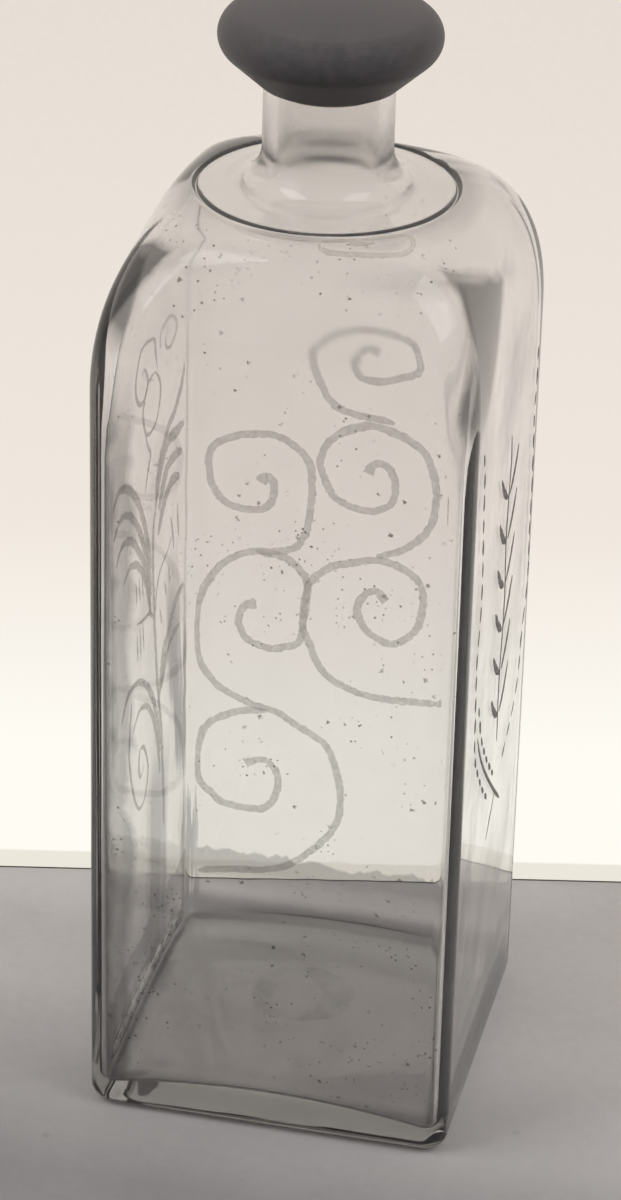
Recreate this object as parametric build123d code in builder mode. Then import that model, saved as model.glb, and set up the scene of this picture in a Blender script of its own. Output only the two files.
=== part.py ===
from build123d import *
import os
from math import acos, atan2, cos, degrees, radians, sin, sqrt, tan

# A square case bottle for bitters: one blown glass body and a turned stopper.
# The origin is the middle of the base, Z runs up the neck, and the front faces -Y.
# Lengths are in millimetres.

# Glass body
body_width = 92.0
corner_radius = 6.0
foot_radius = 4.5
panel_height = 196.0
shoulder_rise = 40.6
ring_radius = 30.7
panel_wall = 3.6
inner_corner_radius = 4.5
shoulder_wall = 3.4
base_thickness = 6.2
floor_fillet = 3.0
ring_groove_width = 1.5
ring_groove_depth = 0.7

# The shoulder's levels follow a quarter of an ellipse, and the foot's a quarter of a circle
shoulder_steps = 5
foot_steps = 3
quarter_turn = 90
# Half the angle that each side and each corner takes of the full circle at the ring
eighth_half_angle = 22.5
# How late the flat sides start to bow on their way up to the ring
bow_power = 1.5

# Turned curves are cut in this many straight runs each, so that the model keeps few facets
floor_runs = 2
dome_runs = 2
root_runs = 2
lip_runs = 1
crown_runs = 2
rim_runs = 2

# Floor that swells up from its corners, and the pushed-up middle of the base
floor_dome_radius = 57.0
floor_dome_height = 7.0
punt_opening_radius = 12.5
punt_height = 3.2
punt_bump_radius = 14.0
punt_bump_height = 1.0

# Neck
neck_radius = 15.4
bore_radius = 12.0
neck_height = 37.4
disc_rise = 1.6
neck_root_fillet = 8.0
bore_root_fillet = 8.0
lip_rounding = 1.2

# Stopper: a turned knob with a socket that covers the lip, and a cork below it
socket_clearance = 0.3
skirt_edge = 0.6
skirt_overlap = 11.8
knob_radius = 26.1
knob_rim_round = 6.0
knob_underside_slope = 42.0
knob_crown_rise = 8.0
washer_thickness = 1.5
washer_clearance = 0.1
cork_fit = 0.05
cork_taper = 0.75
cork_reach = 13.5
dowel_radius = 4.0
dowel_in_knob = 4.0
dowel_in_cork = 9.0
glue_gap = 0.05
hole_end_gap = 0.3

# Levels worked out from the sizes above
ring_level = panel_height + shoulder_rise
lip_level = ring_level + neck_height
half_width = body_width / 2
inner_half_width = half_width - panel_wall
inner_ring_radius = ring_radius - shoulder_wall / 2
inner_ring_level = ring_level - shoulder_wall
seat_level = lip_level + washer_thickness
skirt_level = lip_level - skirt_overlap

os.makedirs("parts", exist_ok=True)


def arc_points(centre, radius, first_angle, last_angle, runs):
    """Points along an arc, ends included, so that a turned curve is cut in a few straight runs."""
    points = []
    for run in range(runs + 1):
        angle = radians(first_angle + (last_angle - first_angle) * run / runs)
        points.append((centre[0] + radius * cos(angle), centre[1] + radius * sin(angle)))
    return points


def dome_curve(radius, rise):
    """Radius of the ball that a shallow dome is cut from."""
    return (radius ** 2 + rise ** 2) / (2 * rise)


def dome_points(level, radius, rise, runs):
    """Points from the rim of a shallow dome to its top, on the axis."""
    curve = dome_curve(radius, rise)
    rim_angle = degrees(acos(radius / curve))
    return arc_points((0, level + rise - curve), curve, rim_angle, quarter_turn, runs)


def level_outline(height, half, corner, ring, fullness):
    """One level of the glass: a rounded square that bows into the ring's circle as it rises."""
    middle = ring + (half - ring) * fullness
    reach_at_ring = ring * sin(radians(eighth_half_angle))
    reach = reach_at_ring + (half - corner - reach_at_ring) * fullness
    turn = radians(eighth_half_angle) * (1 - fullness) ** bow_power
    edge = middle - reach * tan(turn / 2)
    rounding = (edge - reach) / (cos(turn) - sin(turn))
    diagonal = edge - rounding * cos(turn) + rounding / sqrt(2)
    with BuildSketch(Plane.XY.offset(height)) as level:
        with BuildLine():
            for quarter in range(4):
                foot, bow, head, corner_top, next_foot = [
                    Vector(*point).rotate(Axis.Z, 90 * quarter)
                    for point in (
                        (edge, -reach), (middle, 0), (edge, reach), (diagonal, diagonal), (reach, edge)
                    )
                ]
                if turn > 0:
                    ThreePointArc(foot, bow, head)
                else:
                    Line(foot, head)
                ThreePointArc(head, corner_top, next_foot)
        make_face()
    return level.sketch


def shoulder_levels(rise, half, corner, ring):
    """The levels that the shoulder is lofted through, up a quarter of an ellipse."""
    levels = []
    for step in range(shoulder_steps + 1):
        angle = radians(quarter_turn * step / shoulder_steps)
        levels.append(level_outline(panel_height + rise * sin(angle), half, corner, ring, cos(angle)))
    return levels


def foot_levels(floor, rounding, half, corner, ring):
    """The levels that round the foot of a wall into a floor, down a quarter of a circle."""
    levels = []
    for step in range(foot_steps + 1):
        angle = radians(quarter_turn * step / foot_steps)
        inset = rounding * (1 - cos(angle))
        height = floor + rounding * (1 - sin(angle))
        levels.append(level_outline(height, half - inset, corner - inset, ring, 1))
    return levels


# The hollow inside the glass, from the floor to the mouth
with BuildPart() as hollow:
    inner_levels = shoulder_levels(
        shoulder_rise - shoulder_wall, inner_half_width, inner_corner_radius, inner_ring_radius
    )
    add(inner_levels[0])
    extrude(amount=base_thickness + floor_fillet - panel_height)
    loft(inner_levels, ruled=True)
    loft(
        foot_levels(base_thickness, floor_fillet, inner_half_width, inner_corner_radius, inner_ring_radius),
        ruled=True,
    )
    bore_foot = (bore_radius + bore_root_fillet, inner_ring_level + disc_rise + bore_root_fillet)
    mouth_edge = (bore_radius + lip_rounding, lip_level - lip_rounding)
    with BuildSketch(Plane.XZ):
        with BuildLine():
            Polyline(
                (0, inner_ring_level),
                (inner_ring_radius, inner_ring_level),
                *arc_points(bore_foot, bore_root_fillet, 270, 180, root_runs),
                *arc_points(mouth_edge, lip_rounding, 180, 90, lip_runs),
                (0, lip_level),
                close=True,
            )
        make_face()
    revolve(axis=Axis.Z)
    # The floor swells towards the middle, and again over the punt
    floor_curve = dome_curve(floor_dome_radius, floor_dome_height)
    floor_middle = (0, base_thickness + floor_dome_height - floor_curve)
    floor_rim_angle = degrees(acos(floor_dome_radius / floor_curve))
    bump_foot_angle = degrees(acos(punt_bump_radius / floor_curve))
    bump_level = floor_middle[1] + sqrt(floor_curve ** 2 - punt_bump_radius ** 2)
    bump_rise = base_thickness + floor_dome_height + punt_bump_height - bump_level
    with BuildSketch(Plane.XZ):
        with BuildLine():
            swell = arc_points(floor_middle, floor_curve, floor_rim_angle, bump_foot_angle, floor_runs)
            bump = dome_points(bump_level, punt_bump_radius, bump_rise, dome_runs)
            Polyline((0, base_thickness), *swell, *bump[1:], close=True)
        make_face()
    revolve(axis=Axis.Z, mode=Mode.SUBTRACT)

# The blown bottle: four flat panels, a cushioned shoulder, a ring and a short neck
with BuildPart() as glass_bottle:
    levels = shoulder_levels(shoulder_rise, half_width, corner_radius, ring_radius)
    add(levels[0])
    extrude(amount=foot_radius - panel_height)
    loft(levels, ruled=True)
    loft(foot_levels(0, foot_radius, half_width, corner_radius, ring_radius), ruled=True)
    neck_foot = (neck_radius + neck_root_fillet, ring_level + disc_rise + neck_root_fillet)
    lip_edge = (neck_radius - lip_rounding, lip_level - lip_rounding)
    with BuildSketch(Plane.XZ):
        with BuildLine():
            Polyline(
                (0, ring_level),
                (ring_radius - ring_groove_width / 2, ring_level),
                *arc_points(neck_foot, neck_root_fillet, 270, 180, root_runs),
                *arc_points(lip_edge, lip_rounding, 0, 90, lip_runs),
                (0, lip_level),
                close=True,
            )
        make_face()
    revolve(axis=Axis.Z)
    add(hollow.part, mode=Mode.SUBTRACT)
    # The sharp ring where the shoulder meets the top disc
    with BuildSketch(Plane.XZ):
        with BuildLine():
            Polyline(
                (ring_radius - ring_groove_width / 2, ring_level + ring_groove_depth),
                (ring_radius - ring_groove_width / 2, ring_level),
                (ring_radius, ring_level - ring_groove_depth),
                (ring_radius + ring_groove_width / 2, ring_level),
                (ring_radius + ring_groove_width / 2, ring_level + ring_groove_depth),
                close=True,
            )
        make_face()
    revolve(axis=Axis.Z, mode=Mode.SUBTRACT)
    # The punt pushed up in the middle of the base
    with BuildSketch(Plane.XZ):
        with BuildLine():
            Polyline((0, 0), *dome_points(0, punt_opening_radius, punt_height, dome_runs), close=True)
        make_face()
    revolve(axis=Axis.Z, mode=Mode.SUBTRACT)

glass_bottle.part.label = "glass_bottle"
export_step(glass_bottle.part, "parts/glass_bottle.step")

# Leather washer that beds the knob on the lip
cork_slope = cork_taper / cork_reach
cork_radius_at_lip = bore_radius - cork_fit
cork_radius_at_seat = cork_radius_at_lip + cork_slope * washer_thickness
washer_bore = cork_radius_at_seat + washer_clearance

with BuildPart() as lip_washer:
    with BuildSketch(Plane.XY.offset(lip_level)):
        Circle(neck_radius)
        Circle(washer_bore, mode=Mode.SUBTRACT)
    extrude(amount=washer_thickness)

lip_washer.part.label = "lip_washer"
export_step(lip_washer.part, "parts/lip_washer.step")

# Turned knob, hollowed below to cover the lip
socket_radius = neck_radius + socket_clearance
skirt_radius = socket_radius + skirt_edge
rim_centre = knob_radius - knob_rim_round
rim_sweep = 90 - knob_underside_slope
rim_foot = rim_centre + knob_rim_round * cos(radians(rim_sweep))
slope_height = (rim_foot - skirt_radius) * tan(radians(knob_underside_slope))
equator_level = skirt_level + slope_height + knob_rim_round * sin(radians(rim_sweep))
crown_level = equator_level + knob_crown_rise
# The crown is one wide arc that runs on smoothly from the rim
crown_spread = 2 * (knob_crown_rise - knob_rim_round)
crown_radius = (rim_centre ** 2 + knob_crown_rise ** 2 - knob_rim_round ** 2) / crown_spread
crown_depth = crown_radius - knob_crown_rise
crown_start = degrees(atan2(crown_depth, rim_centre))

with BuildPart() as stopper_knob:
    with BuildSketch(Plane.XZ):
        with BuildLine():
            rim_middle = (rim_centre, equator_level)
            under_rim = arc_points(rim_middle, knob_rim_round, -rim_sweep, 0, rim_runs)
            over_rim = arc_points(rim_middle, knob_rim_round, 0, crown_start, rim_runs)
            crown_middle = (0, equator_level - crown_depth)
            crown = arc_points(crown_middle, crown_radius, crown_start, 90, crown_runs)
            rim = under_rim + over_rim[1:]
            Polyline((0, skirt_level), (skirt_radius, skirt_level), *rim, *crown[1:], close=True)
        make_face()
    revolve(axis=Axis.Z)
    with BuildSketch(Plane.XY.offset(skirt_level)):
        Circle(socket_radius)
    extrude(amount=seat_level - skirt_level, mode=Mode.SUBTRACT)
    with BuildSketch(Plane.XY.offset(seat_level)):
        Circle(dowel_radius + glue_gap)
    extrude(amount=dowel_in_knob + hole_end_gap, mode=Mode.SUBTRACT)

stopper_knob.part.label = "stopper_knob"
export_step(stopper_knob.part, "parts/stopper_knob.step")

# Tapered cork under the knob, with the hole for its dowel
cork_foot_radius = cork_radius_at_lip - cork_taper

with BuildPart() as stopper_cork:
    with BuildSketch(Plane.XZ):
        with BuildLine():
            Polyline(
                (0, lip_level - cork_reach),
                (cork_foot_radius, lip_level - cork_reach),
                (cork_radius_at_seat, seat_level),
                (0, seat_level),
                close=True,
            )
        make_face()
    revolve(axis=Axis.Z)
    with BuildSketch(Plane.XY.offset(seat_level)):
        Circle(dowel_radius + glue_gap)
    extrude(amount=-(dowel_in_cork + hole_end_gap), mode=Mode.SUBTRACT)

stopper_cork.part.label = "stopper_cork"
export_step(stopper_cork.part, "parts/stopper_cork.step")

# Wooden dowel glued into the knob and the cork
with BuildPart() as stopper_dowel:
    with BuildSketch(Plane.XY.offset(seat_level - dowel_in_cork)):
        Circle(dowel_radius)
    extrude(amount=dowel_in_cork + dowel_in_knob)

stopper_dowel.part.label = "stopper_dowel"
export_step(stopper_dowel.part, "parts/stopper_dowel.step")
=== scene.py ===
"""Dresses the bitters bottle: thin blown glass with cut ornament, and a blackened turned stopper."""

from math import asin, atan, cos, hypot, pi, radians, sin, sqrt, tan

import bmesh
import bpy
from bpy.props import FloatProperty, FloatVectorProperty, PointerProperty
from mathutils import Matrix, Quaternion, Vector, noise


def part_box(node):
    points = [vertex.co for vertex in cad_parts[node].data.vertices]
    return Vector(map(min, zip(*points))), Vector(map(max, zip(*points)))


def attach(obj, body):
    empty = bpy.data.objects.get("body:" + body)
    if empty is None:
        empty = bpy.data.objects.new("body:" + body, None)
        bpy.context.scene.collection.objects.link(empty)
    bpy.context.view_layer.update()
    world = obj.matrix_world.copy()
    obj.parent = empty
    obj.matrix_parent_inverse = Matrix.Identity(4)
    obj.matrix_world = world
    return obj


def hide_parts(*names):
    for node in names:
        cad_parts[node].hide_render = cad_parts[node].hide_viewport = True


bl_info = {
    "name": "Bitters Bottle Dressing",
    "version": (1, 0, 0),
    "blender": (4, 5, 0),
    "location": "View3D > Sidebar > Bitters Bottle",
    "description": "Builds a square bottle in old glass with cut ornament and a turned stopper",
    "category": "Object",
}

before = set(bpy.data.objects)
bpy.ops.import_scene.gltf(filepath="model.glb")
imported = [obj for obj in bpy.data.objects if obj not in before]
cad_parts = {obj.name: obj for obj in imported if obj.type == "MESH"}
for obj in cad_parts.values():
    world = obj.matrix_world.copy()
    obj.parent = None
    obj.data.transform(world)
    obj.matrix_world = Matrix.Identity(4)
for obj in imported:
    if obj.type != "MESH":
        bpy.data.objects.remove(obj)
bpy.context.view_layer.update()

MM = 0.001
glass_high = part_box("glass_bottle")[1]
knob_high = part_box("stopper_knob")[1]


# Sizes and colours


def length(name, description, metres):
    """A size that a user can change."""
    return FloatProperty(name=name, description=description, default=metres, unit="LENGTH")


def angle(name, description, degrees):
    """An angle that a user can change."""
    return FloatProperty(name=name, description=description, default=radians(degrees), subtype="ANGLE")


def colour(name, description, shade):
    """A colour that a user can change."""
    return FloatVectorProperty(name=name, description=description, default=shade, subtype="COLOR")


class BottleGlassSizes(bpy.types.PropertyGroup):
    """Sizes of the blown glass body."""

    half_width: length("Half width", "From the bottle's axis to the outside of a side", glass_high.x)
    corner_radius: length("Corner radius", "Rounding of the four upright corners", 6.0 * MM)
    foot_radius: length("Foot radius", "Rounding where the sides meet the base", 4.5 * MM)
    panel_height: length("Panel height", "Height at which the flat sides start to lean in", 196.0 * MM)
    shoulder_rise: length("Shoulder rise", "Height from the top of the flat sides to the ring", 40.6 * MM)
    ring_radius: length("Ring radius", "Radius of the creased ring round the top of the shoulder", 30.7 * MM)
    groove_width: length("Groove width", "Width of the crease", 1.5 * MM)
    groove_depth: length("Groove depth", "Depth of the crease", 0.7 * MM)
    disc_rise: length("Disc rise", "How much the disc inside the ring climbs to the neck", 1.6 * MM)
    neck_radius: length("Neck radius", "Outside radius of the neck", 15.4 * MM)
    neck_root: length("Neck root", "Rounding where the neck leaves the disc", 8.0 * MM)
    lip_level: length("Lip level", "Height of the top of the glass", glass_high.z)
    lip_rounding: length("Lip rounding", "Rounding of the two edges of the lip", 1.2 * MM)
    bore_radius: length("Bore radius", "Inside radius of the neck", 12.0 * MM)
    bore_root: length("Bore root", "Rounding where the bore opens into the shoulder", 8.0 * MM)
    panel_wall: length("Panel wall", "Thickness of the sides", 3.6 * MM)
    inner_corner: length("Inner corner", "Rounding of the upright corners inside", 2.4 * MM)
    inner_ring_radius: length("Inner ring radius", "Radius of the hollow under the ring", 29.0 * MM)
    shoulder_wall: length("Shoulder wall", "Thickness of the top of the shoulder", 3.4 * MM)
    base_thickness: length(
        "Base thickness", "Thickness of the glass under the corners of the floor", 6.2 * MM
    )
    floor_fillet: length("Floor fillet", "Rounding between the walls and the floor inside", 2.0 * MM)
    floor_dome: length("Floor dome", "How much the floor climbs towards its middle", 7.0 * MM)
    floor_spread: length("Floor spread", "How far from the axis the floor starts to climb", 57.0 * MM)
    upper_corner: length(
        "Upper corner inside", "Rounding of the upright corners inside the shoulder", 6.5 * MM
    )
    punt_radius: length("Punt radius", "Radius of the hollow under the base", 12.5 * MM)
    punt_height: length("Punt height", "Height of the hollow under the base", 0.3 * MM)
    punt_bump: length("Punt bump", "Height of the bump that the hollow makes in the floor", 0.3 * MM)
    bump_radius: length("Bump radius", "Radius of that bump", 13.0 * MM)
    waviness: length("Waviness", "How uneven the blown walls are on the inside", 0.2 * MM)
    folds: length("Folds", "Depth of the upright folds in the left side", 0.3 * MM)


class BottleOrnamentSizes(bpy.types.PropertyGroup):
    """Sizes of the cut ornament."""

    stroke_width: length("Stroke width", "Width of a full stroke of the scrolls", 2.0 * MM)
    side_spread: FloatProperty(
        name="Side spread",
        description="How much wider the strokes of the left and right sides are along the side",
        default=1.5,
    )
    # A broken white line runs along the inside of the floor's left edge
    white_line_width: length("Crust width", "Width of the chalky line along the floor", 4.2 * MM)
    white_line_gap: length("Crust gap", "How far the chalky line stands off the inside of the glass", 0.5 * MM)
    leaf_width: length("Leaf width", "Width of the widest leaf of the spray", 3.4 * MM)
    cut_depth: length("Cut depth", "Thickness of the frosted layer of a stroke", 0.14 * MM)
    proud: length("Proud", "How far the frosted layer stands off the glass", 0.02 * MM)


class BottleStopperSizes(bpy.types.PropertyGroup):
    """Sizes of the turned stopper."""

    knob_radius: length("Knob radius", "Radius of the knob at its widest", knob_high.x)
    rim_round: length("Rim round", "Rounding of the knob's rim", 6.0 * MM)
    underside_slope: angle("Underside slope", "Slope of the knob's underside", 42.0)
    crown_rise: length("Crown rise", "Height of the knob's top over its widest level", 8.0 * MM)
    skirt_overlap: length("Skirt overlap", "How far the knob's skirt comes down over the lip", 11.8 * MM)
    socket_clearance: length("Socket clearance", "Gap between the neck and the knob's socket", 0.3 * MM)
    skirt_edge: length("Skirt edge", "Thickness of the skirt at its foot", 0.6 * MM)
    seat_gap: length("Seat gap", "Height of the socket's roof over the lip", 1.5 * MM)


class BottleColours(bpy.types.PropertyGroup):
    """Colours of the finishes and the stage, with the painted light and shade."""

    glass: colour("Glass", "Tint of the old glass", (0.995, 0.99, 0.985))
    glass_body: colour(
        "Glass body", "Colour left after light has passed through thick glass", (0.10, 0.06, 0.04)
    )
    frost: colour("Frost", "Colour of the cut strokes", (0.58, 0.51, 0.43))
    dark_frost: colour("Dark frost", "Colour of the cut strokes on the right side", (0.20, 0.18, 0.17))
    # Painted shade: the tint of the patches and streaks that stand in for the dark bands of the glass's
    # refraction, and of the dried line of drink, a stain
    shade_and_stain: colour("Shade and Stain", "Tint of the dark patches where the glass is thick", (0.05, 0.048, 0.05))
    dust: colour("Dust", "Tint of dusty glass", (0.90, 0.89, 0.88))
    # Colour of the broken white line along the inside of the floor's left edge
    white_line: colour("Crust", "Colour of the chalky crust along the floor", (0.93, 0.90, 0.86))
    grime: colour("Grime", "Colour of the specks of dirt", (0.10, 0.08, 0.07))
    blackened_wood: colour("Blackened wood", "Colour of the stained and polished knob", (0.084, 0.080, 0.082))
    cork: colour("Cork", "Colour of the cork", (0.46, 0.31, 0.19))
    leather: colour("Leather", "Colour of the washer", (0.10, 0.055, 0.035))
    plain_wood: colour("Plain wood", "Colour of the dowel", (0.42, 0.28, 0.16))
    table: colour("Table", "Colour of the table near the wall", (0.70, 0.672, 0.658))
    # Painted light: the pool of light that the bottle throws on the table under it
    table_painted_light: colour(
        "Table under the bottle", "Colour of the table where the bottle throws its light", (0.96, 0.92, 0.90)
    )
    # Painted shade: the table behind the wall is darker, to hold back the light of the lamp behind the wall
    table_behind_shaded: colour(
        "Table behind the wall", "Colour of the table on the far side of the wall", (0.20, 0.192, 0.19)
    )
    # Painted shade: the table darkens towards the camera, away from the light behind the bottle
    table_front_shaded: colour("Table front", "Colour of the table towards the camera", (0.30, 0.288, 0.29))
    joint: colour("Joint", "Colour of the dark line at the foot of the wall", (0.12, 0.09, 0.08))
    wall: colour("Wall", "Colour of the wall behind the bottle", (0.79, 0.725, 0.66))
    # Painted light: the wall grows paler half way down and paler still near its foot
    wall_middle_lit: colour("Wall middle", "Colour of the wall half way down", (0.87, 0.80, 0.735))
    wall_low_lit: colour("Wall low", "Colour of the wall near its foot", (1.0, 0.975, 0.90))
    skirting: colour("Skirting", "Colour of the strip at the foot of the wall", (0.84, 0.80, 0.71))
    room: colour("Room", "Colour of the dim light all round", (0.33, 0.32, 0.315))
    room_seen: colour("Room seen", "Colour of the room where the camera sees it", (0.78, 0.75, 0.72))


class BottleStageSizes(bpy.types.PropertyGroup):
    """Sizes of the stage and the camera's place."""

    wall_distance: length("Wall distance", "From the bottle's axis to the wall", 0.0785)
    joint_height: length("Joint height", "Height of the dark line at the foot of the wall", 0.0007)
    azimuth: angle("Azimuth", "Which way round the bottle the camera stands", 12.5089)
    elevation: angle("Elevation", "How steeply the camera looks down", 27.747)
    roll: angle("Roll", "How far the camera leans to one side", 1.4617)
    distance: length("Distance", "From the camera to the point that it looks at", 0.99199)
    aim_height: length("Aim height", "Height of the point that the camera looks at", 0.12708)
    aim_side: length("Aim side", "How far that point lies to the side of the axis", -0.00138)
    focal_length: FloatProperty(
        name="Focal length",
        description="Focal length in millimetres for a frame 36 mm tall",
        default=121.01,
        min=1.0,
    )


# Meshes

# Steps of a quarter turn, or of a straight run, at each place on the glass and the knob
CORNER_STEPS = 12
FOOT_STEPS = 7
PANEL_STEPS = 24
SHOULDER_STEPS = 26
INNER_SHOULDER_STEPS = 24
NECK_ROOT_STEPS = 9
BORE_ROOT_STEPS = 8
LIP_STEPS = 5
FLOOR_FILLET_STEPS = 6
CROWN_STEPS = 15
RIM_STEPS = 20
KNOB_SPIN_STEPS = 128

# Places of the levels between two ends, as shares of the way
SIDE_SHARES = (0.0, 0.14, 0.28, 0.42, 0.55, 0.67, 0.77, 0.85, 0.91, 0.955, 0.985)
PUNT_SHARES = (0.08, 0.25, 0.45, 0.65, 0.8, 0.9, 0.97)
BASE_SHARES = (0.0, 0.2, 0.4, 0.6, 0.8, 0.93)
DISC_SHARES = (0.0, 0.12, 0.35, 0.6, 0.8)
NECK_SHARES = (0.15, 0.3, 0.45, 0.6, 0.75, 0.9)
INNER_DISC_SHARES = (0.2, 0.4, 0.6, 0.8, 1.0)
FLOOR_SHARES = (0.9, 0.8, 0.7, 0.6, 0.5, 0.42, 0.39, 0.36, 0.34, 0.32, 0.3, 0.28, 0.26, 0.22, 0.16, 0.1, 0.03)
UNDERSIDE_SHARES = (0.25, 0.5, 0.75, 0.94, 0.985)
SOCKET_SHARES = (0.0, 0.03, 0.3, 0.6, 0.97, 1.0)
SOCKET_ROOF_SHARES = (0.97, 0.6, 0.3)

# The punt's rim: its radius as a share of the punt's, and its height as a share of the punt's
PUNT_RIM = ((1.0, 0.05), (1.05, 0.01))
PUNT_EDGE_SHARE = 1.1
# The crease: how far out each level stands, in half widths, and how deep, as a share of its depth
CREASE = ((1.0, 0.0), (0.42, 0.55), (0.0, 1.0), (-0.42, 0.55))
CREASE_CLEARANCE_SHARE = 0.6
# The floor is round up to this share of its half width
ROUND_FLOOR_SHARE = 0.42
# The inner corners widen between these shares of the panel height
CORNER_WIDENING_SHARES = (0.93, 1.04)
# The floor's swell fades out between these heights, in base thicknesses
SWELL_FADE = (6, 1.5)

EIGHTH_TURN = radians(22.5)
BOW_POWER = 1.5
MERGE_DISTANCE = 1e-7
SKIRT_ROUND = 0.15 * MM
SOCKET_ROUND = 0.1 * MM

# The swelling of the blown glass and its folds: how many turns of the noise to the metre, and its seeds
SWELLS_PER_METRE = 24.0
SWELL_SEED = Vector((3.1, 7.7, 1.3))
FOLDS_PER_METRE = (150.0, 5.0)
FOLD_SEED = 6.4
# The folds set in between these shares of the half width, and are full below this share of the panel height
FOLDED_SIDE = (0.8, 0.9)
FOLD_TOP = 0.8


def finish_piece(mesh_work, name, material, body="bottle", nodes=()):
    """Makes one finished object from a bmesh and ties it to its body."""
    bmesh.ops.remove_doubles(mesh_work, verts=mesh_work.verts, dist=MERGE_DISTANCE)
    bmesh.ops.recalc_face_normals(mesh_work, faces=mesh_work.faces)
    for face in mesh_work.faces:
        face.smooth = True
    mesh = bpy.data.meshes.new(name)
    mesh_work.to_mesh(mesh)
    mesh_work.free()
    piece = bpy.data.objects.new(name, mesh)
    bpy.context.scene.collection.objects.link(piece)
    mesh.materials.append(material)
    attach(piece, body)
    if nodes:
        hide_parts(*nodes)


def ramp(value, start, end):
    """Climbs from 0 to 1 as a value goes from a start to an end."""
    return max(0.0, min(1.0, (value - start) / (end - start)))


def soft_ramp(value, start, end):
    """A ramp that starts and ends gently."""
    share = ramp(value, start, end)
    return share * share * (3 - 2 * share)


def outline_terms(half, corner, ring, fullness):
    """The arcs of one level: its side's middle, reach and turn, and its corner's centre and radius."""
    middle = ring + (half - ring) * fullness
    reach_at_ring = ring * sin(EIGHTH_TURN)
    reach = reach_at_ring + (half - corner - reach_at_ring) * fullness
    turn = EIGHTH_TURN * (1 - fullness) ** BOW_POWER
    edge = middle - reach * tan(turn / 2)
    rounding = (edge - reach) / (cos(turn) - sin(turn))
    return middle, reach, turn, edge - rounding * cos(turn), rounding


def bow(middle, turn, share, across):
    """How far a bowed side is from the axis at a share of its half width."""
    return middle - across * tan(asin(sin(turn) * share) / 2)


def level_outline(half, corner, ring, fullness):
    """Points of one level of the glass, from a circle at fullness 0 to a rounded square at 1."""
    middle, reach, turn, centre, rounding = outline_terms(half, corner, ring, fullness)
    side = [(bow(middle, turn, share, reach * share), reach * share) for share in SIDE_SHARES]
    sweep = pi / 2 - 2 * turn
    arc = []
    for step in range(CORNER_STEPS + 1):
        place = turn + sweep * step / CORNER_STEPS
        arc.append((centre + rounding * cos(place), centre + rounding * sin(place)))
    quarter = side + arc + [(y, x) for x, y in reversed(side[1:])]
    points = []
    for turns in range(4):
        across, along = cos(turns * pi / 2), sin(turns * pi / 2)
        points += [(x * across - y * along, x * along + y * across) for x, y in quarter]
    return points


def arc_steps(count):
    """Shares of a quarter turn, in radians, from nothing to a quarter."""
    return [pi / 2 * step / count for step in range(count + 1)]


def circle_level(height, radius):
    """One round level of the glass."""
    return height, radius * 2, radius, radius, 0.0


def lip_levels(glass, radius, away):
    """The rounding of the lip's edge, where its foot is at a radius and its top lies away from that."""
    return [
        circle_level(
            glass.lip_level - glass.lip_rounding * (1 - sin(step)),
            radius + away * glass.lip_rounding * (1 - cos(step)),
        )
        for step in arc_steps(LIP_STEPS)
    ]


def root_levels(level, radius, root, count):
    """The rounding at the foot of the neck, from the disc at a level up to the neck."""
    return [
        circle_level(level + root * (1 - cos(step)), radius + root - root * sin(step))
        for step in arc_steps(count)
    ]


def outer_levels(glass):
    """Levels of the outside, from the middle of the base to the lip."""
    levels = []
    dome = (glass.punt_radius ** 2 + glass.punt_height ** 2) / (2 * glass.punt_height)
    for share in PUNT_SHARES:
        radius = glass.punt_radius * share
        levels.append(circle_level(sqrt(dome ** 2 - radius ** 2) - dome + glass.punt_height, radius))
    for radius_share, height_share in PUNT_RIM:
        levels.append(circle_level(glass.punt_height * height_share, glass.punt_radius * radius_share))
    punt_edge = glass.punt_radius * PUNT_EDGE_SHARE
    flat_half = glass.half_width - glass.foot_radius
    flat_corner = glass.corner_radius - glass.foot_radius
    for share in BASE_SHARES:
        half = punt_edge + (flat_half - punt_edge) * share
        levels.append((0.0, half, half + (flat_corner - half) * share, half, share))
    for step in arc_steps(FOOT_STEPS):
        inset = glass.foot_radius * (1 - sin(step))
        height = glass.foot_radius * (1 - cos(step))
        levels.append((height, glass.half_width - inset, glass.corner_radius - inset, glass.ring_radius, 1.0))
    body = (glass.half_width, glass.corner_radius, glass.ring_radius)
    rise = glass.panel_height - glass.foot_radius
    for step in range(1, PANEL_STEPS + 1):
        levels.append((glass.foot_radius + rise * step / PANEL_STEPS, *body, 1.0))
    for step in arc_steps(SHOULDER_STEPS)[1:-1]:
        reach = (glass.half_width - glass.ring_radius) * cos(step)
        if reach >= glass.groove_width * CREASE_CLEARANCE_SHARE:
            levels.append((glass.panel_height + glass.shoulder_rise * sin(step), *body, cos(step)))
    ring_level = glass.panel_height + glass.shoulder_rise
    half_groove = glass.groove_width / 2
    for out, depth in CREASE:
        height = ring_level - glass.groove_depth * depth
        levels.append(circle_level(height, glass.ring_radius + half_groove * out))
    disc_start = glass.ring_radius - half_groove
    disc_run = disc_start - (glass.neck_radius + glass.neck_root)
    for share in DISC_SHARES:
        levels.append(circle_level(ring_level + glass.disc_rise * share, disc_start - disc_run * share))
    disc_top = ring_level + glass.disc_rise
    levels += root_levels(disc_top, glass.neck_radius, glass.neck_root, NECK_ROOT_STEPS)
    neck_foot = disc_top + glass.neck_root
    neck_run = glass.lip_level - glass.lip_rounding - neck_foot
    levels += [circle_level(neck_foot + neck_run * share, glass.neck_radius) for share in NECK_SHARES]
    return levels + lip_levels(glass, glass.neck_radius, -1)


def inner_rounding(glass, height):
    """Rounding of the upright corners inside, which widens towards the shoulder."""
    start, end = (glass.panel_height * share for share in CORNER_WIDENING_SHARES)
    return glass.inner_corner + (glass.upper_corner - glass.inner_corner) * soft_ramp(height, start, end)


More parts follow.
